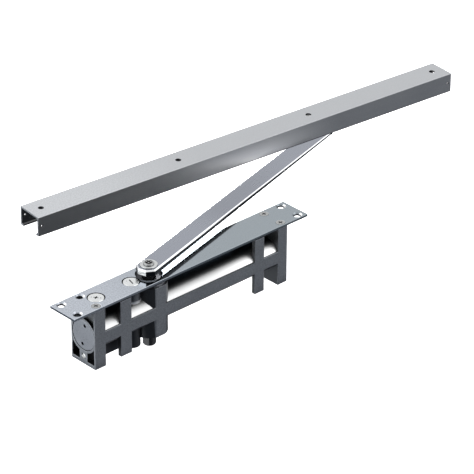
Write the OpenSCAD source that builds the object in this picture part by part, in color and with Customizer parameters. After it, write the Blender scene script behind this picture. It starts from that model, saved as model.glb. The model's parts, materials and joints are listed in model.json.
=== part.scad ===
// Concealed door closer with a slide arm and a guide rail, in millimetres.
// The origin is the centre of the face plate on its underside.
// +X runs along the closer to its spring end, +Y away from the front, +Z up.

/* [Face plate] */
// Length of the face plate
plate_l = 275; // [268:1:300]
// Width of the face plate
plate_w = 32; // [31:0.5:40]
// Thickness of the face plate
plate_t = 2.5; // [2.2:0.1:3.2]
// Width of the small bevel round the face plate's upper edges
plate_bevel = 0.3; // [0.1:0.1:0.6]
// Distance of the mounting holes from each end of the face plate
mount_end = 8; // [6.5:0.25:10]
// Distance between the two rows of holes, across the face plate
hole_rows = 21.5; // [20.5:0.25:22]
// Radius of a mounting hole
mount_hole_r = 2.75; // [2.5:0.05:3]
// Top radius of a mounting hole's countersink
mount_sink_r = 4.6; // [4:0.1:5]
// Distance from a mounting hole to the next fixing screw, along the face plate
fixing_step = 20.75; // [19.5:0.25:21.5]
// Radius of the opening round the spindle
plate_opening_r = 12.3; // [11.6:0.1:12.8]

/* [Body casting] */
// Distance from the left end of the face plate to the body
body_start = 22.5; // [21:0.5:23]
// Length of the body
body_l = 227.5; // [222:0.5:229]
// Width of the body across its flat sides
body_w = 31.6; // [30.6:0.1:32]
// Depth of the body below the face plate
body_h = 57.5; // [56:0.5:62]
// Depth of the cylinder's axis below the face plate
cyl_depth = 29; // [28.5:0.25:30]
// Outer radius of the cylinder
cyl_r = 15.4; // [14.9:0.1:15.6]
// Radius of the cylinder's bore
bore_r = 12.5; // [12:0.1:12.8]
// Height of the flat rails along both sides
rail_h = 12; // [9:0.5:14]
// Thickness of the legs, inwards from the flat sides
leg_t = 4; // [3:0.25:5]
// Depth of the two middle legs below the face plate
leg_depth = 56; // [50:0.5:57]
// Gap between the middle legs and the face plate
leg_gap = 1; // [0.5:0.1:2]
// Start of the second leg, from the body's left end
leg2_start = 29.5; // [27:0.5:31]
// Width of the second leg
leg2_w = 12.5; // [9:0.5:13]
// Start of the fourth leg, from the body's left end
leg4_start = 188; // [180:0.5:192]
// Width of the fourth leg
leg4_w = 11.2; // [8:0.2:12]
// Length of the left end frame
left_frame_l = 12.2; // [11.8:0.1:13]
// Thickness of the left end frame's side walls
frame_wall = 1.6; // [1.4:0.1:2.4]
// Thickness of the left end frame's floor
frame_floor = 3.5; // [2.5:0.1:4]
// Depth of the pockets in the left end frame's upper corners
pocket_l = 3; // [2:0.1:3.4]
// Outer radius of the cylinder's left end ring, before its sides are cut flat
end_ring_r = 17; // [16.4:0.1:17.4]
// Thickness of the right end wall
right_wall = 11.3; // [10:0.1:12]
// Width of the oil gallery's rib under the cylinder
rib_w = 10; // [8:0.25:11]
// Radius of the oil gallery
gallery_r = 1.6; // [1:0.1:2]
// Depth of the oil gallery below the face plate
gallery_depth = 49.8; // [49.6:0.1:50.5]

/* [Spindle] */
// Distance from the left end of the face plate to the spindle
spindle_x = 98.5; // [98:0.5:101]
// Radius of the spindle housing before its sides are cut flat
housing_r = 16.5; // [16.2:0.1:17]
// Depth of the spindle housing's top below the face plate
housing_top = 4; // [3.5:0.1:4.5]
// Radius of the step on top of the spindle housing
housing_step_r = 15; // [14:0.1:15.4]
// Height of the step on top of the spindle housing
housing_step_h = 2; // [1.5:0.1:2.2]
// Depth of the spindle housing's bottom below the face plate
housing_bottom = 53.4; // [53:0.1:54.5]
// Radius of the spindle's journals
journal_r = 6; // [5.8:0.05:6.2]
// Radius of the spindle between its journals and its teeth
neck_r = 4.6; // [4:0.1:4.7]
// Radius over the rounded corners of the spindle's squared ends
collar_r = 5.9; // [5.6:0.05:5.95]
// Across the flats of the spindle's squared ends
collar_af = 10.4; // [9.8:0.1:10.8]
// Height of the chamfer at the spindle's lower end
spindle_chamfer = 1; // [0.5:0.1:1.5]
// Depth of the spindle's lower end below the face plate
spindle_bottom = 68; // [60:0.5:70]
// Across the flats of the square that drives the arm
square_af = 7.6; // [7:0.1:7.8]
// Running clearance of the spindle in its bearings, on the radius
journal_clear = 0.05; // [0.02:0.01:0.08]
// Outer radius of the bearings
bearing_r = 9.5; // [9:0.1:10]
// Length of a bearing
bearing_l = 6; // [5:0.25:6.5]
// Thickness of a shaft seal
seal_t = 2; // [1.5:0.1:2.2]
// Radius of the gland nuts' threads
gland_r = 10.6; // [10.2:0.1:11]
// Length of the gland nuts' threads
gland_l = 2.6; // [2.2:0.1:3]
// Radius of the gland nuts' flanges
gland_flange_r = 12.4; // [12:0.1:13]
// Thickness of the lower gland nut's flange
gland_flange_h = 1.6; // [1.2:0.1:2]
// Width of the step on the gland nuts' flanges
gland_step = 1; // [0.7:0.1:1.3]
// Width of the notches in the gland nuts
gland_notch_w = 2; // [1.6:0.1:2.4]

/* [Rack and pinion] */
// Tooth module
tooth_m = 1; // [0.95:0.01:1.02]
// Number of teeth round the pinion
pinion_teeth = 12; // [11:1:12]
// Height of the pinion's teeth
pinion_h = 15; // [12:0.5:16]
// Play between the teeth, at the pitch line
backlash = 0.3; // [0.2:0.05:0.4]
// Height of the rack's teeth above its pitch line
rack_addendum = 0.65; // [0.5:0.05:0.7]
// Travel of the piston while the arm turns through its whole range
piston_travel = 12.6; // [12.5:0.1:13.5]
// Length of the piston's left head
piston_head_l = 12; // [10:0.5:13]
// Length of the piston's right head
piston_tail_l = 14; // [12:0.5:16]
// Clearance of the piston in the bore, on the radius
piston_clear = 0.04; // [0.02:0.01:0.08]
// Radius of the check valve's ball
ball_r = 2.4; // [2:0.1:2.5]
// Gap beside the pinion in the piston's window
window_gap = 0.8; // [0.6:0.1:1.2]
// Room past the pinion at each end of the piston's window
window_room = 1.5; // [1.2:0.1:2]
// Plain length of the rack at each end of the window
rack_land = 2; // [1.5:0.1:3]
// Radius of the oil passage in the piston
oil_passage_r = 1.2; // [1:0.1:1.4]
// Thickness of the rim and depth of the recess at the piston's spring end
piston_rim = 5; // [4:0.5:6]
// Depth of the check valve's bore in the piston
check_depth = 8; // [7.6:0.1:9]
// Radius of the check valve's seat ring
check_seat_r = 4; // [3.6:0.1:4.4]
// Thickness of the check valve's seat ring
check_seat_t = 2.3; // [1.8:0.1:2.4]

/* [Spring] */
// Radius of the spring's wire
wire_r = 1.8; // [1.4:0.1:2]
// Radius of the spring to the middle of its wire
spring_r = 10; // [9.5:0.1:10.2]
// Number of turns of the spring
spring_turns = 13; // [9:1:14]

/* [End caps] */
// Radius of the end caps' flanges
cap_r = 14.3; // [14:0.1:14.4]
// Gap round the end caps' flanges
cap_gap = 0.4; // [0.2:0.05:0.5]
// Thickness of the end caps' flanges
cap_flange = 3; // [2.5:0.1:3.5]
// Length of the end caps' threaded part
cap_plug_l = 7.5; // [7:0.25:8.5]
// Depth of the end caps' faces inside the body
cap_inset = 0.5; // [0.2:0.1:1]
// Distance of the spanner holes from the end cap's centre
spanner_hole_at = 9.6; // [8:0.1:9.8]
// Radius of the spanner holes
spanner_hole_r = 1.6; // [1.2:0.1:1.8]
// Depth of the spanner holes
spanner_hole_depth = 2.2; // [1.6:0.1:2.4]
// Tilt of the line through the spanner holes from upright, in degrees
spanner_tilt = 10; // [0:1:30]
// Thickness of the end caps' rubber rings
cap_seal_t = 1.8; // [1.6:0.1:1.9]
// Distance of the rubber rings from the end caps' inner ends
cap_seal_inset = 2.2; // [2:0.1:2.6]
// Thickness of the walls round the end caps' hollows
cap_wall = 2; // [1.5:0.1:3]
// Radius of the gallery plug
plug_r = 2.5; // [2.2:0.1:2.6]
// Radius of the drain plug
drain_plug_r = 3.95; // [3.5:0.05:4.2]
// Length of the plugs
plug_l = 3.4; // [2.5:0.1:4]
// Width and depth of the plugs' slots
plug_slot = 1; // [0.8:0.1:1.2]
// Turn of the gallery plug's slot from upright, in degrees
plug_turn = 40; // [0:5:90]

/* [Valves] */
// Distance from the left end of the face plate to the sweep valve
sweep_x = 38; // [37:0.5:40]
// Distance from the left end of the face plate to the latch valve
latch_x = 78; // [77:0.5:79]
// Radius of a valve's head
valve_head_r = 7.6; // [7:0.1:7.8]
// Gap round a valve's head in the face plate
valve_gap = 0.5; // [0.3:0.05:0.6]
// Radius of a valve's stem
valve_stem_r = 3; // [2.5:0.1:3.2]
// Depth of a valve's tip below the face plate
valve_depth = 13; // [12:0.25:13.5]
// Width of the bevel round a valve's head
valve_bevel = 0.7; // [0.4:0.1:1]
// Length of a valve's pointed tip
valve_tip_l = 2; // [1.5:0.1:3]
// Radius of a valve's tip
valve_tip_r = 0.8; // [0.6:0.1:1.2]
// Length of the slot in the latch valve's head
valve_slot_l = 7.8; // [6:0.2:9]
// Length of the cross slots in the sweep valve's head
valve_cross_l = 4.6; // [4:0.2:6]
// Width of the slots in a valve's head
valve_slot_w = 1.1; // [0.9:0.1:1.3]
// Depth of the slots in a valve's head
valve_slot_depth = 1.2; // [0.8:0.1:1.5]
// Distance between the two dots on a valve's head
valve_dot_gap = 8.4; // [8:0.2:10]
// Radius of the dots on a valve's head
valve_dot_r = 0.45; // [0.3:0.05:0.6]
// Turn of the dots from the face plate's length, in degrees
valve_dot_turn = -55; // [-90:5:90]
// Turn of the sweep valve's slots, in degrees
sweep_turn = 30; // [0:1:90]
// Turn of the latch valve's slot, in degrees
latch_turn = 74; // [0:1:180]
// Depth of a valve's rubber ring below the face plate
valve_seal_depth = 5.75; // [5:0.25:7]
// Thickness of a valve's rubber ring
valve_seal_t = 0.84; // [0.7:0.02:0.86]
// Radius of the valve bosses on top of the cylinder
valve_boss_r = 8.4; // [7.8:0.1:8.6]
// Radius of the oil way under a valve
oil_way_r = 0.7; // [0.5:0.1:0.7]
// Radius of the drain boss under the cylinder
drain_boss_r = 7.6; // [6.5:0.1:8]
// Depth of the drain boss below the face plate
drain_depth = 60.5; // [56:0.5:62]

/* [Arm] */
// Length of the arm between its two pivots
arm_l = 291; // [270:1:305]
// Length of the arm past its outer pivot, before its round end
arm_tip_l = 8; // [0:0.5:10]
// Width of the arm
arm_w = 20.2; // [18:0.2:21]
// Thickness of the arm at the spindle
arm_t = 6; // [5.5:0.1:7]
// Thickness of the arm at the slider
arm_tip_t = 3; // [2.4:0.1:4]
// Height of the arm's top above the face plate
arm_height = 9; // [8.5:0.1:10]
// Width of the small bevel along the arm's upper edges
arm_bevel = 1.1; // [0.3:0.1:1.2]
// Width of the small bevel along the arm's lower edges
arm_under_bevel = 0.9; // [0.3:0.1:1.1]
// Angle of the arm from the face plate, in degrees
arm_angle = 15.6; // [10:0.2:20]
// Length of the arm behind the spindle
arm_heel = 11; // [10.5:0.5:13]
// Width of the flat at the arm's back end
arm_heel_w = 8.4; // [6:0.2:12]
// Radius of the washer on the arm
washer_r = 8; // [7:0.1:9]
// Thickness of the washer on the arm
washer_t = 1; // [0.8:0.1:1.2]
// Radius of the arm screw's head
arm_head_r = 4.9; // [4.4:0.1:5.4]
// Height of the arm screw's head
arm_head_h = 2.4; // [2:0.1:2.6]
// Height of the straight rim of the arm screw's head
arm_head_rim = 0.8; // [0.5:0.1:1.2]
// Radius of the arm screw's thread
arm_screw_r = 2.5; // [2:0.1:2.6]
// Length of the arm screw below the washer
arm_screw_l = 13; // [10:0.5:14]

/* [Guide rail] */
// Length of the guide rail
track_l = 475; // [470:5:520]
// Width of the guide rail
track_w = 28; // [27:0.5:30]
// Height of the guide rail
track_h = 19; // [18:0.5:21]
// Thickness of the guide rail's walls
track_wall = 1.8; // [1.6:0.1:2]
// Width of the lips along the guide rail's mouth
lip_w = 2.4; // [1.8:0.1:2.6]
// Thickness of the lips
lip_t = 1.6; // [1.3:0.1:1.8]
// Width of the small bevel along the guide rail's upper edges
track_bevel = 0.4; // [0.3:0.1:1]
// Gap between the top of the arm and the guide rail
track_gap = 4.2; // [3.9:0.1:5]
// Angle of the guide rail from the face plate, in degrees
track_angle = -5.7; // [-8:0.1:0]
// Distance between neighbouring holes in the guide rail
track_hole_step = 150; // [140:1:152]
// Radius of the guide rail's mounting holes
track_hole_r = 2.75; // [2.5:0.05:3]
// Distance from the guide rail's left end to the slider
slider_at = 324; // [300:1:350]
// Radius of the small holes in the guide rail's side walls
side_hole_r = 1; // [0.8:0.1:1.3]
// Distance of the small holes from the guide rail's ends
side_hole_end = 4; // [3:0.5:8]

/* [Slider] */
// Length of the slider
slider_l = 44; // [36:1:50]
// Clearance of the slider in the guide rail, on each side
slider_clear = 0.3; // [0.25:0.05:0.4]
// Radius of the slider's pin
pin_r = 4; // [3.6:0.1:4.4]
// Running clearance of the pin in the slider, on the radius
pin_clear = 0.05; // [0.02:0.01:0.08]
// Radius of the pin's shoulder
shoulder_r = 6.5; // [6:0.1:7]
// Length of the recesses that lighten the slider
slider_pocket_l = 10; // [8:0.5:10]
// Thickness of the slider's walls round its recesses
slider_wall = 3; // [2.5:0.1:3.5]
// Depth of the recess in the slider for the clip
clip_recess = 3.5; // [3.3:0.1:4]
// Thickness of the clip
clip_t = 0.9; // [0.7:0.05:0.9]
// Depth of the groove in the pin for the clip
clip_groove = 0.6; // [0.4:0.1:0.8]
// Width of the opening in the clip
clip_mouth = 3.2; // [2.6:0.1:4]

/* [Screws] */
// Radius of the fixing screws' heads
fixing_head_r = 4.3; // [4:0.1:4.5]
// Radius of the fixing screws' threads
fixing_r = 2; // [1.8:0.05:2.2]
// Length of the fixing screws
fixing_l = 12; // [10:0.5:14]
// Width of the blades of the fixing screws' cross recess
cross_w = 1; // [0.8:0.1:1.2]
// Length of the blades of the fixing screws' cross recess
cross_l = 4.6; // [4:0.1:5.4]
// Depth of the fixing screws' cross recess
cross_depth = 1.2; // [1:0.1:1.4]
// Width of the blades of the arm screw's cross recess
arm_cross_w = 1.3; // [1:0.1:1.5]
// Length of the blades of the arm screw's cross recess
arm_cross_l = 6.4; // [5:0.1:7]
// Depth of the arm screw's cross recess
arm_cross_depth = 1.8; // [1.2:0.1:2]

/* [Hidden] */

$fn = 96;
// Overrun of a cut past the face that it opens
over = 1;
// Gap between pieces that are seated but not pressed together
seat = 0.05;
// Gap between a free piece and what carries it
loose = 0.3;
// Shallow depth of a countersink's straight part
sink_land = 0.8;

plate_left = -plate_l / 2;
body_left = plate_left + body_start;
body_right = body_left + body_l;
side_y = body_w / 2;
cyl_z = -cyl_depth;
spindle_at = plate_left + spindle_x;
fixing_x = plate_l / 2 - mount_end - fixing_step;
row_y = hole_rows / 2;
valve_at = [plate_left + sweep_x, plate_left + latch_x];
valve_hole_r = valve_head_r + valve_gap;
sink_top_r = fixing_head_r + loose;

arm_top = plate_t + arm_height;
arm_bottom = arm_top - arm_t;
washer_top = arm_top + washer_t;
head_top = washer_top + arm_head_h;
track_bottom = arm_top + track_gap;
track_top = track_bottom + track_h;
track_inner = track_w / 2 - track_wall;
slider_x = spindle_at + arm_l * cos(arm_angle);
slider_y = arm_l * sin(arm_angle);
slider_bottom = track_bottom + lip_t + slider_clear;
slider_top = track_top - track_wall - slider_clear;

pitch_r = tooth_m * pinion_teeth / 2;
tip_r = pitch_r + tooth_m;
dedendum = 1.25 * tooth_m;
root_r = pitch_r - dedendum;
base_r = pitch_r * cos(20);
rack_pitch = PI * tooth_m;
piston_r = bore_r - piston_clear;
window_end = tip_r + window_room;
window_start = window_end + piston_travel;
piston_left = spindle_at - window_start - piston_head_l;
piston_right = spindle_at + window_end + piston_tail_l;
cap_l = cap_flange + cap_plug_l;
cap_left_x = body_left + cap_inset;
cap_right_x = body_right - cap_inset;
spring_start = piston_right + loose;
spring_end = cap_right_x - cap_l - loose;
gland_seat = housing_top - housing_step_h;
bearing_top = -gland_seat - gland_l - seal_t;
bearing_low = -housing_bottom + gland_l + seal_t;
rib_bottom = body_h - frame_floor + over;
shaft_bore_r = tip_r + 2 * loose;
cap_bore_r = cap_r + cap_gap;
cap_seal_at = cap_l - cap_seal_inset;
arm_screw_tip = washer_top - arm_screw_l;
clip_z = slider_top - clip_recess + loose;

// A box from its lowest corner to its highest corner
module box(a, b) {
  translate(a) cube(b - a);
}

// A cylinder that lies along X
module rod_x(r, x0, x1) {
  translate([x0, 0, 0]) rotate([0, 90, 0]) cylinder(r = r, h = x1 - x0);
}

// A cylinder along Z between two heights
module rod_z(r, z0, z1) {
  translate([0, 0, z0]) cylinder(r = r, h = z1 - z0);
}

// A ring along Z between two heights
module ring_z(r_in, r_out, z0, z1) {
  difference() {
    rod_z(r_out, z0, z1);
    rod_z(r_in, z0 - over, z1 + over);
  }
}

// A rubber ring round the Z axis
module rubber_ring(r, thick) {
  rotate_extrude($fn = 48) translate([r, 0]) circle(r = thick, $fn = 24);
}

// A slot in a screw's head, its top at z = 0
module slot(l, w, depth) {
  box([-l / 2, -w / 2, -depth], [l / 2, w / 2, over]);
}

// The cross recess in a screw's head, its top at z = 0
module cross_recess(l, w, depth) {
  for (turn = [0, 90])
    rotate([0, 0, turn]) slot(l, w, depth);
}

// A countersunk hole through a plate, its top at z = top
module countersunk_hole(r, top_r, top) {
  rod_z(r, -over, top + over);
  translate([0, 0, sink_land])
    cylinder(r1 = r, r2 = top_r, h = top - sink_land);
  rod_z(top_r, top, top + over);
}

// Face plate

// The face plate seen along its length or across it, its upper corners bevelled
module plate_profile(w) {
  polygon([[-w / 2, 0], [w / 2, 0], [w / 2, plate_t - plate_bevel], [w / 2 - plate_bevel, plate_t],
           [-w / 2 + plate_bevel, plate_t], [-w / 2, plate_t - plate_bevel]]);
}

module plate_blank() {
  intersection() {
    translate([plate_left, 0, 0]) rotate([90, 0, 90])
      linear_extrude(height = plate_l) plate_profile(plate_w);
    translate([0, plate_w / 2, 0]) rotate([90, 0, 0])
      linear_extrude(height = plate_w) plate_profile(plate_l);
  }
}

module face_plate() {
  color([0.66, 0.69, 0.71])
    difference() {
      plate_blank();
      for (side = [-1, 1], row = [-1, 1]) {
        translate([side * (plate_l / 2 - mount_end), row * row_y, 0])
          countersunk_hole(mount_hole_r, mount_sink_r, plate_t);
        translate([side * fixing_x, row * row_y, 0])
          countersunk_hole(fixing_r + loose, sink_top_r, plate_t);
      }
      for (x = valve_at)
        translate([x, 0, 0]) rod_z(valve_hole_r, -over, plate_t + over);
      translate([spindle_at, 0, 0]) rod_z(plate_opening_r, -over, plate_t + over);
    }
}

// A countersunk screw whose head is flush with the face plate
module fixing_screw() {
  difference() {
    union() {
      translate([0, 0, sink_land])
        cylinder(r1 = fixing_r, r2 = fixing_head_r, h = plate_t - sink_land);
      rod_z(fixing_r, plate_t - fixing_l, sink_land);
    }
    translate([0, 0, plate_t]) cross_recess(cross_l, cross_w, cross_depth);
  }
}

module fixing_screws() {
  color([0.78, 0.79, 0.8]) {
    translate([-fixing_x, -row_y, 0]) fixing_screw();
    translate([fixing_x, row_y, 0]) fixing_screw();
    translate([fixing_x, -row_y, 0]) fixing_screw();
  }
}

// Body casting

// A leg on both flat sides
module side_legs(x0, x1, bottom, top) {
  for (side = [0, 1])
    mirror([0, side, 0])
      box([x0, -side_y, -bottom], [x1, -side_y + leg_t, -top]);
}

// The frame round the cylinder's left end, open at its lower corners
module left_frame() {
  frame_end = body_left + left_frame_l;
  for (side = [0, 1])
    mirror([0, side, 0])
      box([body_left, -side_y, -body_h], [frame_end, -side_y + frame_wall, 0]);
  box([body_left, -side_y, -body_h], [frame_end, side_y, -body_h + frame_floor]);
  box([body_left + pocket_l, -side_y, cyl_z], [frame_end, side_y, 0]);
}

module right_frame() {
  box([body_right - right_wall, -side_y, -body_h], [body_right, side_y, 0]);
}

module rails() {
  box([body_left + 1, -side_y, cyl_z - rail_h / 2], [body_right - 1, side_y, cyl_z + rail_h / 2]);
}

// The round housing of the spindle, cut flat at both sides, with a step on top
module spindle_housing() {
  intersection() {
    translate([spindle_at, 0, 0]) rod_z(housing_r, -housing_bottom, -housing_top);
    box([spindle_at - housing_r, -side_y, -housing_bottom], [spindle_at + housing_r, side_y, -housing_top]);
  }
  translate([spindle_at, 0, 0]) rod_z(housing_step_r, -housing_top, -gland_seat);
}

// The thicker left end of the cylinder, cut flat at both sides
module end_ring() {
  frame_end = body_left + left_frame_l;
  intersection() {
    translate([0, 0, cyl_z]) rod_x(end_ring_r, body_left, frame_end);
    box([body_left, -side_y, cyl_z - end_ring_r], [frame_end, side_y, cyl_z + end_ring_r]);
  }
}

// The rib of the oil gallery, from the left frame to the drain boss
module gallery_rib() {
  box([body_left, -rib_w / 2, -rib_bottom], [valve_at[1], rib_w / 2, cyl_z - bore_r - over]);
}

module body_solid() {
  translate([0, 0, cyl_z]) rod_x(cyl_r, body_left, body_right);
  end_ring();
  left_frame();
  right_frame();
  rails();
  side_legs(body_left + leg2_start, body_left + leg2_start + leg2_w, leg_depth, leg_gap);
  side_legs(body_left + leg4_start, body_left + leg4_start + leg4_w, leg_depth, leg_gap);
  spindle_housing();
  gallery_rib();
  for (x = valve_at)
    translate([x, 0, 0]) rod_z(valve_boss_r, cyl_z + bore_r, 0);
  translate([valve_at[1], 0, 0]) rod_z(drain_boss_r, -drain_depth, cyl_z - bore_r);
}

// The bores for the spindle, its bearings, seals and gland nuts
module spindle_bores() {
  rod_z(shaft_bore_r, -housing_bottom - over, -gland_seat + over);
  rod_z(bearing_r, bearing_top - bearing_l, -gland_seat + over);
  rod_z(gland_r, -gland_seat - gland_l, -gland_seat + over);
  rod_z(gland_flange_r + loose, -gland_seat, over);
  rod_z(bearing_r, -housing_bottom - over, bearing_low + bearing_l);
  rod_z(gland_r, -housing_bottom - over, -housing_bottom + gland_l);
}

module cylinder_bores() {
  rod_x(bore_r, body_left - over, body_right + over);
  rod_x(cap_bore_r, body_left - over, cap_left_x + cap_flange);
  rod_x(cap_bore_r, cap_right_x - cap_flange, body_right + over);
}

module body_casting() {
  color([0.36, 0.38, 0.4])
    difference() {
      body_solid();
      translate([0, 0, cyl_z]) cylinder_bores();
      translate([spindle_at, 0, 0]) spindle_bores();
      translate([0, 0, -gallery_depth]) {
        rod_x(gallery_r, body_left - over, valve_at[1]);
        rod_x(plug_r + seat, body_left - over, body_left + plug_l + 2 * loose);
      }
      translate([valve_at[1], 0, 0]) {
        rod_z(gallery_r, -drain_depth - over, cyl_z);
        rod_z(drain_plug_r + seat, -drain_depth - over, -drain_depth + plug_l + 2 * loose);
      }
      for (x = valve_at)
        translate([x, 0, 0]) {
          rod_z(valve_stem_r + seat, -valve_depth - loose, over);
          rod_z(oil_way_r, cyl_z, 0);
        }
      for (x = [-fixing_x, fixing_x], row = [-1, 1])
        translate([x, row * row_y, 0]) rod_z(fixing_r + seat, -fixing_l + plate_t - over, over);
    }
}

// End caps and plugs

// A threaded end cap, its face at x = 0 and its plug towards +X
module end_cap() {
  groove_w = cap_seal_t + 4 * seat;
  groove_floor = bore_r - cap_seal_t - 4 * seat;
  difference() {
    union() {
      rod_x(cap_r, 0, cap_flange);
      rod_x(bore_r - seat, cap_flange, cap_l);
    }
    difference() {
      rod_x(bore_r + over, cap_seal_at - groove_w / 2, cap_seal_at + groove_w / 2);
      rod_x(groove_floor, cap_seal_at - groove_w, cap_seal_at + groove_w);
    }
    rod_x(groove_floor - cap_wall, cap_flange + cap_wall, cap_l + over);
    for (side = [-1, 1])
      rotate([spanner_tilt, 0, 0])
        translate([0, 0, side * spanner_hole_at]) rod_x(spanner_hole_r, -over, spanner_hole_depth);
  }
}

module end_cap_left() {
  color([0.52, 0.54, 0.57])
    translate([cap_left_x, 0, cyl_z]) end_cap();
}

module end_cap_right() {
  color([0.52, 0.54, 0.57])
    translate([cap_right_x, 0, cyl_z]) mirror([1, 0, 0]) end_cap();
}

module end_cap_seals() {
  ring_r = bore_r - 3 * seat - cap_seal_t / 2;
  color([0.06, 0.06, 0.06])
    for (x = [cap_left_x + cap_seal_at, cap_right_x - cap_seal_at])
      translate([x, 0, cyl_z]) rotate([0, 90, 0]) rubber_ring(ring_r, cap_seal_t / 2);
}

// A short slotted plug, its face at z = 0 and its body below
module slotted_plug(r) {
  difference() {
    rod_z(r, -plug_l, 0);
    slot(2 * r + over, plug_slot, plug_slot);
  }
}

module gallery_plug() {
  color([0.8, 0.81, 0.82])
    translate([body_left + loose, 0, -gallery_depth])
      rotate([0, -90, 0]) rotate([0, 0, plug_turn]) slotted_plug(plug_r);
}

module drain_plug() {
  color([0.3, 0.3, 0.32])
    translate([valve_at[1], 0, -drain_depth + loose]) rotate([180, 0, 0]) slotted_plug(drain_plug_r);
}

// Spindle, bearings and seals

// A gland nut with a stepped flange upwards from z = 0 and four notches in it
module gland_nut(flange_h) {
  step = flange_h / 2;
  difference() {
    union() {
      rod_z(gland_r - seat, -gland_l, 0);
      rod_z(gland_flange_r, 0, step);
      rod_z(gland_flange_r - gland_step, step, flange_h);
    }
    rod_z(journal_r + loose, -gland_l - over, flange_h + over);
    for (turn = [45:90:315])
      rotate([0, 0, turn])
        box([gland_flange_r - 2 * gland_step, -gland_notch_w / 2, step],
            [gland_flange_r + over, gland_notch_w / 2, flange_h + over]);
  }
}

module upper_gland() {
  color([0.7, 0.71, 0.72])
    translate([spindle_at, 0, -gland_seat]) gland_nut(gland_seat - loose);
}

module lower_gland() {
  color([0.2, 0.2, 0.21])
    translate([spindle_at, 0, -housing_bottom])
      rotate([180, 0, 0]) gland_nut(gland_flange_h);
}

module bearing(z0) {
  translate([spindle_at, 0, 0]) ring_z(journal_r + journal_clear, bearing_r - seat, z0, z0 + bearing_l);
}

module upper_bearing() {
  color([0.72, 0.6, 0.35]) bearing(bearing_top - bearing_l);
}

module lower_bearing() {
  color([0.72, 0.6, 0.35]) bearing(bearing_low);
}

module shaft_seal(z0) {
  translate([spindle_at, 0, 0]) ring_z(journal_r + journal_clear, bearing_r - seat, z0, z0 + seal_t);
}

module upper_seal() {
  color([0.08, 0.08, 0.08]) shaft_seal(bearing_top);
}

module lower_seal() {
  color([0.08, 0.08, 0.08]) shaft_seal(bearing_low - seal_t);
}

// Involute angle, in degrees, at a radius
function inv_angle(r) = let (a = acos(base_r / r)) tan(a) * 180 / PI - a;
// Half the angle of a pinion tooth at a radius
function half_tooth(r) =
  90 / pinion_teeth - backlash / 2 / pitch_r * 90 / PI + inv_angle(pitch_r) - inv_angle(max(r, base_r));
function polar(r, a) = [r * cos(a), r * sin(a)];
flank_steps = 5;
function flank_r(i) = base_r + (tip_r - base_r) * i / flank_steps;
// The outline of one tooth, from its root round its tip to its root
function tooth_outline(a) = concat(
  [polar(root_r, a - half_tooth(base_r))],
  [for (i = [0:flank_steps]) polar(flank_r(i), a - half_tooth(flank_r(i)))],
  [for (i = [flank_steps:-1:0]) polar(flank_r(i), a + half_tooth(flank_r(i)))],
  [polar(root_r, a + half_tooth(base_r))]);

// The pinion's outline, with a tooth pointing at the rack
module pinion_outline() {
  polygon([for (i = [0:pinion_teeth - 1], p = tooth_outline(90 + i * 360 / pinion_teeth)) p]);
}

// A square bar along Z between two heights, turned with the arm
module square_bar(af, z0, z1) {
  rotate([0, 0, arm_angle]) box([-af / 2, -af / 2, z0], [af / 2, af / 2, z1]);
}

// A squared end of the spindle with round corners, between two heights
module squared_end(z0, z1) {
  intersection() {
    union() {
      rod_z(collar_r, z0 + spindle_chamfer, z1);
      translate([0, 0, z0])
        cylinder(r1 = collar_r - spindle_chamfer, r2 = collar_r, h = spindle_chamfer);
    }
    square_bar(collar_af, z0, z1);
  }
}

// The spindle: journals, teeth, a squared end below and one that drives the arm
module spindle() {
  color([0.07, 0.07, 0.08])
    translate([spindle_at, 0, 0])
      difference() {
        union() {
          squared_end(-spindle_bottom, -housing_bottom + over);
          rod_z(journal_r, -housing_bottom, bearing_low + bearing_l + loose);
          rod_z(neck_r, bearing_low + bearing_l, bearing_top - bearing_l);
          translate([0, 0, cyl_z - pinion_h / 2]) linear_extrude(height = pinion_h) pinion_outline();
          rod_z(journal_r, bearing_top - bearing_l - loose, -gland_seat);
          squared_end(-gland_seat - spindle_chamfer - over, under_arm(-collar_r) - seat);
          square_bar(square_af, arm_bottom - over, arm_top - loose);
        }
        rod_z(arm_screw_r + seat, arm_screw_tip - 2, arm_top + over);
      }
}

// Arm

// The corners of the arm's three-sided heel, from its left side to its right side
arm_heel_outline = [[-arm_heel / 2, arm_w / 2], [-arm_heel, arm_heel_w / 2],
                    [-arm_heel, -arm_heel_w / 2], [-arm_heel / 2, -arm_w / 2]];
arm_end = arm_l + arm_tip_l;
arm_tip_bottom = arm_top - arm_tip_t;
// Height of the arm's underside at a distance from the spindle
function under_arm(at) = arm_bottom + (arm_tip_bottom - arm_bottom) * at / arm_l;

// The arm seen from above, along +X from the spindle
module arm_outline() {
  difference() {
    union() {
      polygon(concat([[arm_end, -arm_w / 2], [arm_end, arm_w / 2]], arm_heel_outline));
      translate([arm_end, 0]) circle(r = arm_w / 2);
    }
    translate([arm_l, 0]) circle(r = pin_r + seat);
    square(square_af + 2 * seat, center = true);
  }
}

// The arm seen from the front: level on top, thinner towards the slider
module arm_profile() {
  heel = -arm_heel - over;
  tip = arm_end + arm_w / 2 + over;
  polygon([[heel, arm_top], [heel, under_arm(heel)], [tip, under_arm(tip)], [tip, arm_top]]);
}

// A long wedge that bevels an edge between two corners, the arm to its left: up is 1 for an
// upper edge and -1 for a lower one
module edge_bevel(from, to, bevel, up) {
  run = to - from;
  climb = atan2(run[2], norm([run[0], run[1]]));
  reach = bevel + over;
  translate(from)
    rotate([0, -climb, atan2(run[1], run[0])])
      translate([-over, 0, 0])
        rotate([90, 0, 90])
          linear_extrude(height = norm(run) + 2 * over)
            polygon([[-over, up * over], [-over, -up * reach], [reach, up * over]]);
}

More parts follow.
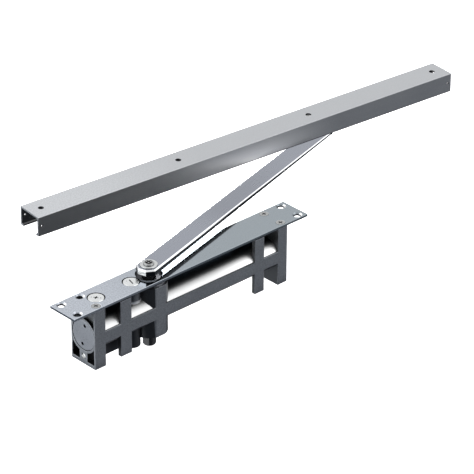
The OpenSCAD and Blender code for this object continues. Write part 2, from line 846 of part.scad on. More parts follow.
// The bevels along the arm's straight edges: the upper ones, or the lower ones, which climb
module arm_bevels(bevel, up) {
  corners = concat([[arm_end, arm_w / 2]], arm_heel_outline, [[arm_end, -arm_w / 2]]);
  edge = [for (c = corners) [c[0], c[1], up > 0 ? arm_top : under_arm(c[0])]];
  for (i = [0:len(edge) - 2])
    edge_bevel(edge[i], edge[i + 1], bevel, up);
}

module arm() {
  color([0.6, 0.63, 0.65])
    translate([spindle_at, 0, 0])
      rotate([0, 0, arm_angle])
        difference() {
          intersection() {
            translate([0, 0, arm_bottom - over]) linear_extrude(height = arm_t + 2 * over) arm_outline();
            translate([0, arm_w, 0]) rotate([90, 0, 0]) linear_extrude(height = 2 * arm_w) arm_profile();
          }
          arm_bevels(arm_bevel, 1);
          arm_bevels(arm_under_bevel, -1);
        }
}

// A washer with a bevel as high as a third of it round its upper edge
module arm_washer() {
  bevel = washer_t / 3;
  color([0.8, 0.8, 0.8])
    translate([spindle_at, 0, arm_top])
      rotate_extrude()
        polygon([[arm_screw_r + loose, 0], [washer_r, 0], [washer_r, washer_t - bevel],
                 [washer_r - bevel, washer_t], [arm_screw_r + loose, washer_t]]);
}

// The arm screw: a domed head with a straight rim, and a plain stem for its thread
module arm_screw() {
  dome_h = arm_head_h - arm_head_rim;
  dome_r = (arm_head_r * arm_head_r + dome_h * dome_h) / (2 * dome_h);
  color([0.82, 0.82, 0.8])
    translate([spindle_at, 0, 0])
      difference() {
        union() {
          rod_z(arm_screw_r, arm_screw_tip, washer_top);
          intersection() {
            rod_z(arm_head_r, washer_top, head_top);
            translate([0, 0, head_top - dome_r]) sphere(r = dome_r);
          }
        }
        translate([0, 0, head_top]) cross_recess(arm_cross_l, arm_cross_w, arm_cross_depth);
      }
}

// Slider and its pin

module slider_pin() {
  color([0.75, 0.75, 0.77])
    translate([slider_x, slider_y, 0])
      difference() {
        union() {
          rod_z(pin_r, arm_tip_bottom, slider_top - 1);
          rod_z(shoulder_r, arm_top, slider_bottom - loose);
        }
        ring_z(pin_r - clip_groove, pin_r + over, clip_z, clip_z + clip_t + 2 * seat);
      }
}

module slider() {
  half_w = track_inner - slider_clear;
  color([0.88, 0.88, 0.85])
    translate([slider_x, slider_y, 0])
      rotate([0, 0, track_angle])
        difference() {
          box([-slider_l / 2, -half_w, slider_bottom], [slider_l / 2, half_w, slider_top]);
          rod_z(pin_r + pin_clear, slider_bottom - over, slider_top + over);
          rod_z(shoulder_r + loose, slider_top - clip_recess, slider_top + over);
          for (side = [-1, 1])
            translate([side * slider_l / 3, 0, 0])
              box([-slider_pocket_l / 2, -half_w + slider_wall, slider_bottom + slider_wall],
                  [slider_pocket_l / 2, half_w - slider_wall, slider_top + over]);
        }
}

// The spring clip in the pin's groove, open at one side
module slider_clip() {
  color([0.2, 0.2, 0.2])
    translate([slider_x, slider_y, 0])
      difference() {
        ring_z(pin_r - clip_groove + seat, shoulder_r - clip_groove, clip_z + seat, clip_z + seat + clip_t);
        box([0, -clip_mouth / 2, clip_z - over], [shoulder_r, clip_mouth / 2, slider_top]);
      }
}

// Piston

// The rack's toothed edge along X, a gap at the spindle, its pitch line at y = 0
module rack_gaps() {
  half_gap = rack_pitch / 4 + backlash / 4;
  tip_y = rack_addendum + 2 * seat;
  first = -floor((window_start - rack_land) / rack_pitch);
  last = floor((window_end - rack_land) / rack_pitch);
  for (i = [first:last])
    translate([i * rack_pitch, 0])
      polygon([[-half_gap - tip_y * tan(20), -tip_y], [half_gap + tip_y * tan(20), -tip_y],
               [half_gap - dedendum * tan(20), dedendum], [-half_gap + dedendum * tan(20), dedendum]]);
}

// The opening in the piston round the spindle, seen from above
module window_outline() {
  side_gap = tip_r + window_gap;
  translate([-window_start, -side_gap])
    square([window_start + window_end, side_gap + pitch_r - rack_addendum]);
  translate([0, pitch_r]) rack_gaps();
}

module piston() {
  color([0.6, 0.61, 0.62])
    difference() {
      translate([0, 0, cyl_z]) rod_x(piston_r, piston_left, piston_right);
      translate([spindle_at, 0, cyl_z - bore_r - over])
        linear_extrude(height = 2 * bore_r + 2 * over) window_outline();
      translate([0, 0, cyl_z]) {
        rod_x(oil_passage_r, piston_left - over, spindle_at);
        rod_x(ball_r + loose, piston_left - over, piston_left + check_depth);
        rod_x(check_seat_r, piston_left - over, piston_left + check_seat_t + 4 * seat);
        rod_x(bore_r - piston_rim, piston_right - piston_rim, piston_right + over);
      }
    }
}

module check_ball() {
  color([0.8, 0.8, 0.82])
    translate([piston_left + check_depth - ball_r, 0, cyl_z]) sphere(r = ball_r);
}

module check_seat() {
  color([0.75, 0.65, 0.4])
    translate([piston_left + 4 * seat, 0, cyl_z]) rotate([0, 90, 0])
      ring_z(ball_r - 1, check_seat_r - seat, 0, check_seat_t);
}

// Spring

spring_steps = 20;
spring_sides = 6;
spring_closed = 1.1;
coil_gap = 0.5;
// Share of the free length reached after a number of turns, with close coils at both ends
function wound(turn) =
  let (open = spring_turns - 2 * spring_closed,
       coil = (2 * wire_r + coil_gap) / (spring_end - spring_start - 2 * wire_r),
       free_rise = 1 - 2 * coil * spring_closed)
  turn < spring_closed ? coil * turn
  : turn > spring_turns - spring_closed ? 1 - coil * (spring_turns - turn)
  : coil * spring_closed + free_rise * (turn - spring_closed) / open;
function spring_point(turn) =
  let (a = 360 * turn)
  [spring_start + wire_r + (spring_end - spring_start - 2 * wire_r) * wound(turn),
   spring_r * cos(a), spring_r * sin(a)];
// One ring of the wire's skin: out from the spring's axis, then along it
function wire_ring(turn) =
  let (c = spring_point(turn), a = 360 * turn)
  [for (k = [0:spring_sides - 1])
    let (t = 360 * k / spring_sides)
    c + [wire_r * sin(t), wire_r * cos(t) * cos(a), wire_r * cos(t) * sin(a)]];

module main_spring() {
  rings = spring_turns * spring_steps;
  points = [for (i = [0:rings], p = wire_ring(i / spring_steps)) p];
  start_cap = [for (k = [1:spring_sides - 2]) [0, k + 1, k]];
  end_cap = [for (k = [1:spring_sides - 2])
    [rings * spring_sides, rings * spring_sides + k, rings * spring_sides + k + 1]];
  skin = [for (i = [0:rings - 1], k = [0:spring_sides - 1])
    let (k2 = (k + 1) % spring_sides, a = i * spring_sides, b = a + spring_sides)
    each [[a + k, a + k2, b + k], [a + k2, b + k2, b + k]]];
  color([0.35, 0.36, 0.4])
    translate([0, 0, cyl_z]) polyhedron(points = points, faces = concat(start_cap, skin, end_cap));
}

// Valves

// A regulating screw, its head flush with the face plate, without its slots
module valve_blank() {
  groove_h = valve_seal_t + 4 * seat;
  difference() {
    union() {
      rod_z(valve_head_r, loose, plate_t - valve_bevel);
      translate([0, 0, plate_t - valve_bevel])
        cylinder(r1 = valve_head_r, r2 = valve_head_r - valve_bevel, h = valve_bevel);
      rod_z(valve_stem_r, -valve_depth + valve_tip_l, loose);
      translate([0, 0, -valve_depth]) cylinder(r1 = valve_tip_r, r2 = valve_stem_r, h = valve_tip_l);
    }
    translate([0, 0, -valve_seal_depth])
      ring_z(valve_stem_r - valve_seal_t - seat, valve_stem_r + over, -groove_h / 2, groove_h / 2);
    for (side = [-1, 1])
      rotate([0, 0, valve_dot_turn])
        translate([side * valve_dot_gap / 2, 0, 0])
          rod_z(valve_dot_r, plate_t - valve_bevel, plate_t + over);
  }
}

module sweep_valve() {
  color([0.82, 0.83, 0.84])
    translate([valve_at[0], 0, 0])
      difference() {
        valve_blank();
        translate([0, 0, plate_t]) rotate([0, 0, sweep_turn])
          cross_recess(valve_cross_l, valve_slot_w, valve_slot_depth);
      }
}

module latch_valve() {
  color([0.82, 0.83, 0.84])
    translate([valve_at[1], 0, 0])
      difference() {
        valve_blank();
        translate([0, 0, plate_t]) rotate([0, 0, latch_turn])
          slot(valve_slot_l, valve_slot_w, valve_slot_depth);
      }
}

module valve_seal(x) {
  translate([x, 0, -valve_seal_depth]) rubber_ring(valve_stem_r - valve_seal_t / 2, valve_seal_t / 2);
}

module sweep_valve_seal() {
  color([0.06, 0.06, 0.06]) valve_seal(valve_at[0]);
}

module latch_valve_seal() {
  color([0.06, 0.06, 0.06]) valve_seal(valve_at[1]);
}

// Guide rail

module track_section() {
  half = track_w / 2;
  difference() {
    polygon([[-half, track_bottom], [half, track_bottom], [half, track_top - track_bevel],
             [half - track_bevel, track_top], [-half + track_bevel, track_top],
             [-half, track_top - track_bevel]]);
    translate([-track_inner, track_bottom + lip_t])
      square([2 * track_inner, track_h - lip_t - track_wall]);
    translate([-track_inner + lip_w, track_bottom - over])
      square([2 * (track_inner - lip_w), lip_t + 2 * over]);
  }
}

module guide_rail() {
  first_hole = (track_l - 3 * track_hole_step) / 2;
  color([0.74, 0.75, 0.76])
    translate([slider_x, slider_y, 0])
      rotate([0, 0, track_angle])
        translate([-slider_at, 0, 0])
          difference() {
            rotate([90, 0, 90]) linear_extrude(height = track_l) track_section();
            for (i = [0:3])
              translate([first_hole + i * track_hole_step, 0, 0])
                rod_z(track_hole_r, track_top - track_wall - over, track_top + over);
            for (x = [side_hole_end, track_l - side_hole_end])
              translate([x, track_w, track_top - track_h / 2])
                rotate([90, 0, 0]) cylinder(r = side_hole_r, h = 2 * track_w, $fn = 24);
          }
}

face_plate();
body_casting();
end_cap_left();
end_cap_right();
end_cap_seals();
gallery_plug();
drain_plug();
upper_gland();
lower_gland();
upper_bearing();
lower_bearing();
upper_seal();
lower_seal();
fixing_screws();
spindle();
arm();
arm_washer();
arm_screw();
slider_pin();
slider();
slider_clip();
piston();
check_ball();
check_seat();
main_spring();
sweep_valve();
latch_valve();
sweep_valve_seal();
latch_valve_seal();
guide_rail();
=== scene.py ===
import json
import math
import bmesh
import bpy
from mathutils import Matrix, Vector


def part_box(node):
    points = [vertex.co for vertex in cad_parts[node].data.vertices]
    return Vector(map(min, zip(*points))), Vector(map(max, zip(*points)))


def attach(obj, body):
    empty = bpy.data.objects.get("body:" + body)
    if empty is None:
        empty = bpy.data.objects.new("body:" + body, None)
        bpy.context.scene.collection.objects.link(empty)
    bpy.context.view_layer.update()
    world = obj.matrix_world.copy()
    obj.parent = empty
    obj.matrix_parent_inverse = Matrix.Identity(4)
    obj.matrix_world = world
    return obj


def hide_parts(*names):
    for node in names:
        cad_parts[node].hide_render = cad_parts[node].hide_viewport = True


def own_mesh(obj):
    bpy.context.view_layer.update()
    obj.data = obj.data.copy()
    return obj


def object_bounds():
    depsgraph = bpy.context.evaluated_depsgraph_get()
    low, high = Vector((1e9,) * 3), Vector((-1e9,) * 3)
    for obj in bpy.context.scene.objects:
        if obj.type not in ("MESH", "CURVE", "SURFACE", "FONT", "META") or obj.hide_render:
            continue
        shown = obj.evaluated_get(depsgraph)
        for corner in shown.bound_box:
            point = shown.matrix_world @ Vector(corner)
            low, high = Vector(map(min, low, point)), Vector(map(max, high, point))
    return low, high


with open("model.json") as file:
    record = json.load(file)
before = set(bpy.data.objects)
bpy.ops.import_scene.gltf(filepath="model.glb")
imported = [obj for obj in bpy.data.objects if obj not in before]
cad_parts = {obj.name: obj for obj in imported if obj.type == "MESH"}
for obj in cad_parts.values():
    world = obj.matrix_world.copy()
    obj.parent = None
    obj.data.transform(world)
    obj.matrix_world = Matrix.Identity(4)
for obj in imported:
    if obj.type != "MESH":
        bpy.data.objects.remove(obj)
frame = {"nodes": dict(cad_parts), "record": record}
cad_box = [list(corner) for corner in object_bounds()]
nodes = frame["nodes"]

# Lengths are in metres. The origin is the centre of the plate's four mounting holes, on its
# underside. +X runs to the spring end, +Y away from the viewer and +Z up.

CAMERA_AT = (-1.64408, -1.83258, 1.40470)
CAMERA_TURN = (60.718, 0.226, -43.014)  # tilt, roll and turn in degrees
LENS = 245.57
SENSOR = 36.0

# How the arm and the rail lie in the rest pose, against X
ARM_ANGLE = math.radians(15.6)
RAIL_ANGLE = math.radians(-5.7)

RAIL_MIDDLE = (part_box("guide_rail")[0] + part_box("guide_rail")[1]) / 2
RAIL_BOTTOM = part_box("guide_rail")[0].z
RAIL_END = 0.236  # along the rail from its middle: the end faces lie beyond
CYLINDER_Z = -0.029
CYLINDER_RADIUS = 0.0154
CYLINDER_FLAT_Z = -0.0235  # the cylinder's round outside shows above this
SPANNER_TILT = math.radians(10)
SPANNER_RADIUS = 0.0096  # from a cap's middle to its spanner holes

# Holes and screws of the face plate
MOUNT_X = 0.1295
FIXING_X = 0.10875
HOLE_Y = 0.01075
SWEEP_X = -0.0995
LATCH_X = -0.0595
ARM_X = -0.039
LATCH_BOSS_RADIUS = 0.0084
HOLE_PLACES = [(x, y) for x in (-MOUNT_X, -FIXING_X, FIXING_X, MOUNT_X) for y in (-HOLE_Y, HOLE_Y)]
SCREW_PLACES = [(-FIXING_X, -HOLE_Y), (FIXING_X, HOLE_Y), (FIXING_X, -HOLE_Y)]
OPEN_HOLES = [place for place in HOLE_PLACES if place not in SCREW_PLACES]
COUNTERSINK_REACH = 0.005  # from a hole's middle past its countersink

# Colours that more than one surface has: white, a white for painted highlights and a near black
# for painted shade
WHITE = (1.0, 1.0, 1.0)
HIGHLIGHT_WHITE = (0.96, 0.96, 0.95)
SHADE_BLACK = (0.022, 0.024, 0.027)


def add_object(name, data):
    thing = bpy.data.objects.new(name, data)
    bpy.context.scene.collection.objects.link(thing)
    return thing


def make_camera():
    data = bpy.data.cameras.new("camera")
    data.lens = LENS
    data.sensor_width = SENSOR
    data.clip_start = 0.1
    data.clip_end = 100.0
    camera = add_object("camera", data)
    tilt, roll, turn = (math.radians(a) for a in CAMERA_TURN)
    camera.matrix_world = (Matrix.Translation(CAMERA_AT) @ Matrix.Rotation(turn, 4, "Z")
                           @ Matrix.Rotation(tilt, 4, "X") @ Matrix.Rotation(roll, 4, "Z"))
    bpy.context.scene.camera = camera


# Materials

class Graph:
    """Short helpers for the procedural nodes of a material or of the world."""

    def __init__(self, tree):
        self.tree = tree

    def add(self, kind, **values):
        node = self.tree.nodes.new(kind)
        for key, value in values.items():
            setattr(node, key, value)
        return node

    def link(self, a, b):
        self.tree.links.new(a, b)

    def feed(self, sockets, values):
        """Give each socket a number, a colour or what another node puts out."""
        for socket, value in zip(sockets, values):
            if isinstance(value, (int, float)):
                socket.default_value = value
            elif isinstance(value, tuple):
                socket.default_value = (*value, 1.0)
            else:
                self.link(value, socket)

    def calc(self, operation, a, b, clamp=False):
        node = self.add("ShaderNodeMath", operation=operation, use_clamp=clamp)
        self.feed(node.inputs, (a, b))
        return node.outputs[0]

    def times(self, a, b):
        return self.calc("MULTIPLY", a, b)

    def mix(self, factor, a, b, blend="MIX"):
        node = self.add("ShaderNodeMix", data_type="RGBA", blend_type=blend)
        self.feed((node.inputs[0], node.inputs[6], node.inputs[7]), (factor, a, b))
        return node.outputs[2]

    def smooth(self, value, start, end):
        """A smooth 0 to 1 while the value goes from start to end."""
        node = self.add("ShaderNodeMapRange", interpolation_type="SMOOTHSTEP")
        node.inputs["From Min"].default_value = start
        node.inputs["From Max"].default_value = end
        self.link(value, node.inputs["Value"])
        return node.outputs["Result"]


class Surface(Graph):
    """A Principled material. Its patterns follow the coordinates of the piece."""

    def __init__(self, name, rough, metallic=1.0):
        self.material = bpy.data.materials.new(name)
        self.material.use_nodes = True
        super().__init__(self.material.node_tree)
        self.bsdf = self.tree.nodes["Principled BSDF"]
        self.bsdf.inputs["Metallic"].default_value = metallic
        self.coords = self.add("ShaderNodeTexCoord").outputs["Object"]
        self.rough = rough
        self.height = []

    def mapped(self, scale, turn):
        """The coordinates, first turned and then scaled."""
        turned = self.add("ShaderNodeMapping")
        turned.inputs["Rotation"].default_value = turn
        self.link(self.coords, turned.inputs["Vector"])
        scaled = self.add("ShaderNodeMapping")
        scaled.inputs["Scale"].default_value = scale
        self.link(turned.outputs[0], scaled.inputs["Vector"])
        return scaled.outputs[0]

    def noise(self, scale, turn=(0, 0, 0), detail=2.0, rough=0.5):
        node = self.add("ShaderNodeTexNoise")
        node.inputs["Scale"].default_value = 1.0
        node.inputs["Detail"].default_value = detail
        node.inputs["Roughness"].default_value = rough
        self.link(self.mapped(scale, turn), node.inputs["Vector"])
        return node.outputs["Fac"]

    def span(self, value, low, high, from_low, from_high):
        """The value, moved from the second range to the first."""
        node = self.add("ShaderNodeMapRange")
        node.inputs["From Min"].default_value = from_low
        node.inputs["From Max"].default_value = from_high
        node.inputs["To Min"].default_value = low
        node.inputs["To Max"].default_value = high
        self.link(value, node.inputs["Value"])
        return node.outputs["Result"]

    def attribute(self, name):
        return self.add("ShaderNodeAttribute", attribute_name=name).outputs["Fac"]

    def rings(self, centre, axis, scale):
        """Noise that depends only on the distance from an axis through a point: turning marks."""
        offset = self.add("ShaderNodeVectorMath", operation="SUBTRACT")
        offset.inputs[1].default_value = centre
        self.link(self.coords, offset.inputs[0])
        flat = self.add("ShaderNodeVectorMath", operation="MULTIPLY")
        flat.inputs[1].default_value = [0.0 if i == axis else 1.0 for i in range(3)]
        self.link(offset.outputs[0], flat.inputs[0])
        length = self.add("ShaderNodeVectorMath", operation="LENGTH")
        self.link(flat.outputs[0], length.inputs[0])
        node = self.add("ShaderNodeTexNoise", noise_dimensions="1D")
        node.inputs["Scale"].default_value = scale
        node.inputs["Detail"].default_value = 1.0
        self.link(length.outputs["Value"], node.inputs["W"])
        return node.outputs["Fac"]

    def along(self, axis, start, end):
        """A smooth 0 to 1 between two places along X, Y or Z."""
        parts = self.add("ShaderNodeSeparateXYZ")
        self.link(self.coords, parts.inputs[0])
        return self.smooth(parts.outputs[axis], start, end)

    def before(self, axis, start, end):
        """A smooth 1 to 0 between two places along X, Y or Z."""
        return self.calc("SUBTRACT", 1.0, self.along(axis, start, end))

    def shadowed(self, base, color, distance, power):
        """The colour darkened in deep corners by ambient occlusion: painted shade."""
        node = self.add("ShaderNodeAmbientOcclusion", samples=12)
        node.inputs["Distance"].default_value = distance
        openness = self.calc("POWER", node.outputs["AO"], power, clamp=True)
        return self.mix(openness, shade(color, 0.04), base)

    def bump(self, value, strength, distance):
        self.height.append((value, strength, distance))

    def finish(self, color, rough=None):
        self.link(color, self.bsdf.inputs["Base Color"])
        if rough is None:
            self.bsdf.inputs["Roughness"].default_value = self.rough
        else:
            self.link(rough, self.bsdf.inputs["Roughness"])
        normal = None
        for value, strength, distance in self.height:
            node = self.add("ShaderNodeBump")
            node.inputs["Strength"].default_value = strength
            node.inputs["Distance"].default_value = distance
            self.link(value, node.inputs["Height"])
            if normal is not None:
                self.link(normal, node.inputs["Normal"])
            normal = node.outputs[0]
        if normal is not None:
            self.link(normal, self.bsdf.inputs["Normal"])
        return self.material


def shade(color, factor):
    return tuple(min(1.0, c * factor) for c in color)


def metal(name, color, rough, grain, turn=(0, 0, 0), variation=0.06, rough_variation=0.08,
          bump=0.15, edge=1.25, edge_rough=-0.06, metallic=1.0, smudge=0.05, depth=0.00002,
          grit=0.0):
    """A worked metal: grain as the tool left it, cloudy smudges and bright edges, partly worn and
    partly a painted highlight.
    """
    s = Surface(name, rough, metallic)
    fine = s.noise(grain, turn, detail=3.0, rough=0.6)
    cloud = s.noise((22, 22, 22), detail=4.0, rough=0.6)
    wear_and_sheen = s.noise((260, 260, 260), detail=3.0, rough=0.7)
    edges = s.calc("MULTIPLY", s.attribute("edge"), s.span(wear_and_sheen, 0.35, 1.0, 0.35, 0.6), clamp=True)
    base = s.mix(s.span(fine, 0.0, 1.0, 0.3, 0.7),
                 shade(color, 1 - variation), shade(color, 1 + variation))
    if grit:
        spots = s.noise((750, 750, 750), detail=2.0, rough=0.6)
        base = s.mix(s.span(spots, 0.0, 0.7, 0.45, 0.75), base, shade(color, 1 + grit))
        base = s.mix(s.span(spots, 0.7, 0.0, 0.25, 0.55), base, shade(color, 1 - grit))
    # Bright rounded edges: partly worn metal, partly a painted highlight.
    base = s.mix(s.times(edges, 0.8), base, shade(color, edge))
    base = s.mix(s.attribute("worn"), base, shade(color, 0.55))
    # Painted shade in the slots and holes listed as recesses, and on the face plate's underside.
    base = s.mix(s.attribute("recess"), base, shade(color, 0.04))
    r = s.calc("ADD", s.span(fine, rough - rough_variation, rough + rough_variation, 0.25, 0.75),
               s.span(cloud, -smudge, smudge, 0.3, 0.7))
    r = s.calc("ADD", r, s.times(edges, edge_rough), clamp=True)
    s.bump(fine, bump, depth)
    return s, base, r


def simple_metal(*args, **kwargs):
    s, base, r = metal(*args, **kwargs)
    return s.finish(base, r)


def turned_metal(name, color, rough, centre, axis, bump, **kwargs):
    s, base, r = metal(name, color, rough, (900, 900, 900), **kwargs)
    rings = s.rings(centre, axis, 9000)
    r = s.calc("ADD", r, s.span(rings, -0.05, 0.05, 0.3, 0.7), clamp=True)
    s.bump(rings, bump, 0.00001)
    return s.finish(base, r)


def cast_metal():
    """The casting, with the cylinder between its legs painted bright where the studio light would
    reflect, painted shade in its corners, between its legs and under the plate, and a painted
    highlight on a boss's rim.
    """
    color = (0.283, 0.295, 0.312)
    s, base, r = metal("cast_body", color, 0.42, (2600, 2600, 2600), variation=0.16,
                       rough_variation=0.09, bump=0.35, edge=2.2, edge_rough=-0.10, smudge=0.04,
                       depth=0.00005, grit=0.30)
    flow = s.noise((60, 60, 60), detail=5.0, rough=0.65)
    base = s.mix(s.span(flow, 0.0, 0.35, 0.45, 0.75), base, shade(color, 0.86))
    # Painted shade in deep corners, then between the legs under the cylinder and behind the
    # latching valve's boss.
    body = s.shadowed(base, color, 0.020, 2.2)
    body = s.mix(s.attribute("sink"), body, shade(color, 0.22))
    # Painted highlight: a bright rim at the foot of the latching valve's boss.
    boss_rim_highlight = s.times(s.attribute("boss"), s.along("Z", -0.0124, -0.0146))
    body = s.mix(boss_rim_highlight, body, (0.90, 0.90, 0.90))
    # The cylinder's round outside: a painted light copy of the colour, brighter towards the spring
    # end, standing in for the studio light's reflection.
    barrel = s.attribute("barrel")
    spring_end = s.along("X", 0.02, 0.08)
    painted_lit = s.mix(spring_end, s.mix(0.8, base, (0.77, 0.77, 0.76)), HIGHLIGHT_WHITE)
    # Painted shade on the cylinder's top, under the plate.
    shade_under_plate = s.along("Z", -0.0218, -0.0135)
    base = s.mix(barrel, body, s.mix(shade_under_plate, painted_lit, shade(color, 0.06)))
    # Without this the dark top of the cylinder would shine at a grazing angle
    grazing = s.mix(s.times(barrel, shade_under_plate), WHITE, (0.35, 0.36, 0.37))
    s.link(grazing, s.bsdf.inputs["Specular Tint"])
    s.bump(flow, 0.08, 0.0004)
    return s.finish(base, r)


def rail_metal():
    """The extruded rail: darker towards its right end, with painted shade and a painted highlight
    on its front side, and painted shade in its corners, channel and holes and along the bottom
    edge of its side.
    """
    color = (0.45, 0.46, 0.472)
    s, base, r = metal("rail_aluminium", color, 0.38, (3200, 3200, 3200), variation=0.06,
                       rough_variation=0.07, bump=0.2, edge=2.1, smudge=0.03, depth=0.00003,
                       grit=0.24)
    streak = s.noise((6, 1600, 1600), (0, 0, -RAIL_ANGLE), detail=2.0)
    base = s.mix(s.span(streak, 0.0, 0.3, 0.35, 0.65), base, shade(color, 0.93))
    base = s.mix(s.times(s.along("X", -0.05, 0.12), 0.75), base, shade(color, 0.78))
    side = s.attribute("side")
    # Painted shade: the left part of the front side darker.
    base = s.mix(s.times(side, s.before("X", -0.03, 0.18)), base, shade(color, 0.42))
    # Painted highlight: a bright zone on the front side, fading towards the top.
    side_highlight = s.times(s.along("X", 0.04, 0.17), s.before("X", 0.165, 0.26))
    lower_part = s.calc("SUBTRACT", 1.0, s.times(s.along("Z", 0.022, 0.038), 0.5))
    side_highlight = s.times(s.times(side_highlight, lower_part), s.times(side, 0.92))
    base = s.mix(side_highlight, base, (0.96, 0.95, 0.93))
    # Painted shade in deep corners, in the channel and holes, and a dark band along the bottom
    # edge of the front side.
    base = s.shadowed(base, color, 0.010, 2.2)
    base = s.mix(s.attribute("sink"), base, shade(color, 0.10))
    foot_shade = s.before("Z", RAIL_BOTTOM + 0.0004, RAIL_BOTTOM + 0.0012)
    base = s.mix(s.times(foot_shade, side), base, shade(color, 0.12))
    s.bump(streak, 0.10, 0.00002)
    return s.finish(base, r)


def plate_metal():
    """The brushed face plate, with painted shade in its screw holes, countersinks and underside,
    and a painted highlight on the light side of its open countersinks.
    """
    color = (0.366, 0.389, 0.425)
    s, base, r = metal("plate_steel", color, 0.10, (40, 2600, 2600), variation=0.05,
                       rough_variation=0.03, bump=0.05, edge=2.2, edge_rough=0.0, smudge=0.03,
                       depth=0.00001, grit=0.22)
    speck = s.noise((2200, 2200, 2200), detail=2.0)
    base = s.mix(s.span(speck, 0.0, 0.4, 0.5, 0.72), base, shade(color, 1.16))
    base = s.mix(s.times(s.along("X", -0.10, 0.02), 0.8), base, (0.203, 0.233, 0.248))
    # Painted highlight on the light side of the open countersinks.
    base = s.mix(s.attribute("glint"), base, HIGHLIGHT_WHITE)
    # Painted shade low in the countersinks and holes.
    deep = s.before("Z", 0.0011, 0.0015)
    base = s.mix(s.times(deep, s.attribute("sink")), base, shade(color, 0.03))
    return s.finish(base, r)


def arm_metal():
    """The arm: satin on top, polished on its edges and underneath, with painted shade on its
    sides, on low polished faces and under its heel.
    """
    color = (0.236, 0.249, 0.280)
    s, base, r = metal("arm_steel", color, 0.27, (60, 2400, 2400), (0, 0, -ARM_ANGLE),
                       variation=0.012, rough_variation=0.008, bump=0.01, edge=1.5, smudge=0.03,
                       depth=0.00001)
    middle = s.times(s.along("X", 0.03, 0.08), s.before("X", 0.11, 0.19))
    base = s.mix(middle, base, shade(color, 0.87))
    polished = s.attribute("polish")
    dull_and_shaded = s.attribute("dull_and_shaded")
    base = s.mix(polished, base, (0.80, 0.81, 0.82))
    under = s.attribute("under")
    # Painted shade: low polished faces towards the far end, and the underside at the heel, go near
    # black.
    low = s.times(s.along("X", 0.02, 0.09), s.before("Z", 0.0107, 0.0109))
    low = s.times(low, s.calc("SUBTRACT", polished, under, clamp=True))
    heel = s.times(under, s.before("X", -0.034, -0.029))
    base = s.mix(s.calc("MAXIMUM", low, heel), base, SHADE_BLACK)
    # Painted shade: the sides go near black, and they are rougher too.
    base = s.mix(dull_and_shaded, base, SHADE_BLACK)
    r = s.calc("ADD", r, s.times(polished, -0.12))
    r = s.calc("ADD", r, s.times(dull_and_shaded, 0.04))
    r = s.calc("ADD", r, s.times(under, 0.40), clamp=True)
    return s.finish(base, r)


def rubber():
    color = (0.02, 0.02, 0.021)
    s = Surface("black_rubber", 0.6, 0.0)
    fine = s.noise((900, 900, 900), detail=3.0)
    base = s.mix(fine, shade(color, 0.75), shade(color, 1.3))
    r = s.span(fine, s.rough - 0.08, s.rough + 0.08, 0.3, 0.7)
    s.bump(fine, 0.3, 0.00003)
    return s.finish(base, r)


def plastic():
    s = Surface("slider_plastic", 0.42, 0.0)
    fine = s.noise((1400, 1400, 1400), detail=3.0)
    cloud = s.noise((80, 80, 80), detail=2.0)
    base = s.mix(cloud, (0.76, 0.76, 0.72), (0.84, 0.84, 0.81))
    r = s.span(fine, s.rough - 0.08, s.rough + 0.08, 0.3, 0.7)
    s.bump(fine, 0.15, 0.00003)
    s.bsdf.inputs["Subsurface Weight"].default_value = 0.05
    s.bsdf.inputs["Subsurface Radius"].default_value = (0.002, 0.002, 0.0015)
    return s.finish(base, r)


MATERIALS = {
    "plate_steel": plate_metal(),
    "cast_body": cast_metal(),
    "cap_metal": turned_metal("cap_metal", (0.37, 0.382, 0.41), 0.36, (0.0, 0.0, CYLINDER_Z), 0,
                              0.3, variation=0.12, edge=1.3),
    "bright_steel": simple_metal("bright_steel", (0.56, 0.57, 0.565), 0.17, (1800, 1800, 1800),
                                 variation=0.05, rough_variation=0.05, bump=0.06, edge=1.1),
    "dark_steel": simple_metal("dark_steel", (0.045, 0.045, 0.05), 0.38, (1500, 1500, 1500),
                               variation=0.25, edge=4.0),
    "black_steel": simple_metal("black_steel", (0.012, 0.012, 0.014), 0.26, (1500, 1500, 900),
                                variation=0.3, rough_variation=0.06, bump=0.1, edge=4.0,
                                metallic=0.0),
    "arm_steel": arm_metal(),
    "rail_aluminium": rail_metal(),
    "bearing_bronze": simple_metal("bearing_bronze", (0.42, 0.30, 0.15), 0.42,
                                   (2500, 2500, 2500), variation=0.22, bump=0.3, edge=1.2),
    "black_rubber": rubber(),
    "slider_plastic": plastic(),
    "spring_steel": simple_metal("spring_steel", (0.14, 0.145, 0.16), 0.34, (500, 2600, 2600),
                                 variation=0.15, edge=1.2),
}
SLOTS = {part["node"]: part["material_slot"] for part in frame["record"]["subparts"]}
BODIES = {name: body for body, names in frame["record"]["behaviour"]["bodies"].items()
          for name in names}


# Marks on faces, from 0 to 1, which the materials read

def spanner_hole(side):
    """Where the axis of an end cap's upper (1) or lower (-1) spanner hole runs."""
    return (0.0, -side * SPANNER_RADIUS * math.sin(SPANNER_TILT),
            CYLINDER_Z + side * SPANNER_RADIUS * math.cos(SPANNER_TILT))


# How worn the tops of a node are, and above which height
WORN = {"fixing_screws": 1.0, "arm_screw": 1.0, "arm_washer": 0.40}
WORN_ABOVE = 0.0012
